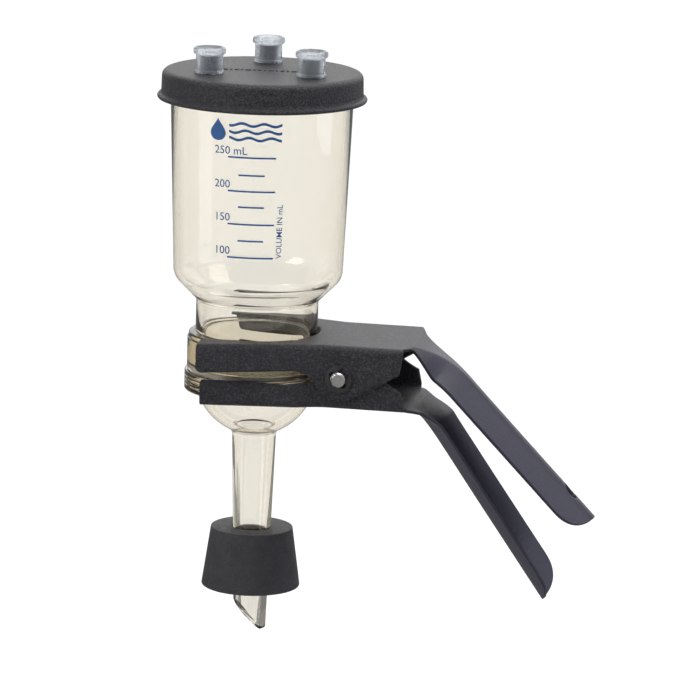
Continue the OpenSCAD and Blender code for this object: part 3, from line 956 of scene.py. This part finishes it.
def make_print(name, words, size, angle, z, upright=False):
    """Printed characters wrapped onto the funnel's side."""
    curve = bpy.data.curves.new(name, "FONT")
    curve.body = words
    curve.size = size
    curve.resolution_u = 4
    curve.extrude = 0.02
    curve.offset = 0.02
    text = bpy.data.objects.new(name + "_curve", curve)
    bpy.context.scene.collection.objects.link(text)
    bpy.context.view_layer.update()
    mesh = bpy.data.meshes.new_from_object(text.evaluated_get(bpy.context.evaluated_depsgraph_get()))
    bpy.data.objects.remove(text)
    bpy.data.curves.remove(curve)
    for v in mesh.vertices:
        x, y, lift = v.co
        if upright:
            x, y = -y, x
        per_mm = math.degrees(1 / funnel_radius(z + y))
        v.co = on_funnel(angle + x * per_mm, z + y, 0.03 + lift)
    obj = bpy.data.objects.new(name, mesh)
    bpy.context.scene.collection.objects.link(obj)
    finish_piece(obj, MATERIALS["ink"], "holder")


def droplet_rows():
    """A droplet as rows of (angle, z) points, round below and drawn out to a point above."""
    rows, waist = [], 0.33
    for t in [k / 32 for k in range(33)]:
        z = 192.6 + 9.4 * t
        if t < waist:
            belly = math.sqrt(max(1 - ((t - waist) / waist) ** 2, 0))
        else:
            belly = (1 - smooth((t - waist) / 0.67)) ** 0.8
        half = (3.4 * belly + 0.02) * math.degrees(1 / funnel_radius(z))
        rows.append([(-17.0 + u * half, z) for u in np.linspace(-1, 1, 9)])
    return rows


def make_emblem():
    """A plain droplet beside three wavy bars."""
    verts, faces = [], []
    wrapped_patch(verts, faces, droplet_rows())
    wave, half_bar = 0.55, 0.55
    for bar in range(3):
        base = 193.9 + 2.9 * bar
        line = [(a, base + wave * math.sin(math.radians(a * 26 + bar * 60)))
                for a in np.linspace(-9.5, 24.0, 67)]
        wrapped_patch(verts, faces, [[(a, z + side * half_bar) for a, z in line] for side in (-1, 1)])
    emblem = add_mesh("emblem", verts, faces)
    fix_normals(emblem)
    finish_piece(emblem, MATERIALS["ink"], "holder")


# ---------------------------------------------------------------- stage, lights and camera

def make_stage():
    """A wide pale floor, well below the stem's tip."""
    mesh = bpy.data.meshes.new("floor")
    half, level = 12.0, base_lo.z - 0.12
    corners = [(-half, -half, level), (half, -half, level), (half, half, level), (-half, half, level)]
    mesh.from_pydata(corners, [], [(0, 1, 2, 3)])
    floor = bpy.data.objects.new("floor", mesh)
    bpy.context.scene.collection.objects.link(floor)
    mat, tree, shader = new_material("floor_paint", Roughness=1.0)
    shader.inputs["Base Color"].default_value = (0.89, 0.89, 0.89, 1)
    shader.inputs["Specular IOR Level"].default_value = 0.0
    mesh.materials.append(mat)
    floor.visible_glossy = False


LIGHTS_AIM = Vector((0.04, 0, 0.11))
WHITE, COOL = (1.0, 1.0, 1.0), (0.78, 0.79, 1.0)


def area_light(name, azimuth, elevation, distance, size, power, colour, diffuse=True, glossy=True):
    """A softbox aimed at the object; azimuth runs from the front round to the right."""
    light = bpy.data.lights.new(name, "AREA")
    light.shape = "RECTANGLE"
    light.size, light.size_y = size
    light.energy = power
    light.color = colour
    obj = bpy.data.objects.new(name, light)
    a, e = math.radians(azimuth), math.radians(elevation)
    back = Vector((math.sin(a) * math.cos(e), -math.cos(a) * math.cos(e), math.sin(e)))
    obj.location = LIGHTS_AIM + back * distance
    obj.rotation_euler = (-back).to_track_quat("-Z", "Y").to_euler()
    obj.visible_camera = False
    obj.visible_diffuse = diffuse
    obj.visible_glossy = glossy
    bpy.context.scene.collection.objects.link(obj)


def make_lights():
    """A dim room, broad light from above, softboxes behind and beside, and cards seen through clear parts."""
    world = bpy.data.worlds.new("studio")
    world.use_nodes = True
    world.node_tree.nodes["Background"].inputs["Color"].default_value = (1, 1, 1, 1)
    world.node_tree.nodes["Background"].inputs["Strength"].default_value = 0.26
    bpy.context.scene.world = world
    sun = bpy.data.lights.new("overhead", "SUN")
    sun.energy = 2.9
    sun.angle = math.radians(70)
    overhead = bpy.data.objects.new("overhead", sun)
    overhead.rotation_euler = (math.radians(-12), math.radians(8), 0)
    bpy.context.scene.collection.objects.link(overhead)
    area_light("behind", 185, 22.5, 2.4, (3.4, 1.6), 18, WHITE, diffuse=False)
    area_light("left", -52, 22, 1.2, (0.45, 0.9), 4.6, WHITE)
    area_light("upper_right", 92, 42, 1.3, (1.0, 0.9), 1.8, COOL)
    area_light("right", 98, 10, 1.4, (0.7, 1.0), 3.0, COOL)
    area_light("left_card", -95, 18, 2.4, (3.2, 1.4), 8, WHITE, diffuse=False, glossy=False)
    area_light("right_card", 95, 18, 2.4, (3.2, 1.4), 8, WHITE, diffuse=False, glossy=False)


def make_camera():
    azimuth, elevation, distance, roll = 10.0, 11.9, 1.902, 1.63
    a, e = math.radians(azimuth), math.radians(elevation)
    back = Vector((math.sin(a) * math.cos(e), -math.cos(a) * math.cos(e), math.sin(e)))
    right = Vector((math.cos(a), math.sin(a), 0))
    centre = right * 0.03346 + Vector((0, 0, 0.1060))
    camera = bpy.data.cameras.new("camera")
    camera.sensor_width = 36
    camera.lens = 245.7
    camera.clip_start, camera.clip_end = 0.05, 60
    obj = bpy.data.objects.new("camera", camera)
    obj.location = centre + back * distance
    facing = (-back).to_track_quat("-Z", "Y").to_matrix().to_4x4()
    turn = Matrix.Rotation(math.radians(roll), 4, "Z")
    obj.matrix_world = Matrix.Translation(centre + back * distance) @ facing @ turn
    bpy.context.scene.collection.objects.link(obj)
    bpy.context.scene.camera = obj


make_camera()
make_lights()
make_stage()
bpy.context.scene.view_settings.view_transform = "Standard"

make_lid()
make_caps()
make_funnel()
make_base()
make_ring_and_plate()
make_stopper()
make_upper_jaw()
make_lower_jaw()
make_pin()
make_clip()
make_spring()
make_scale()
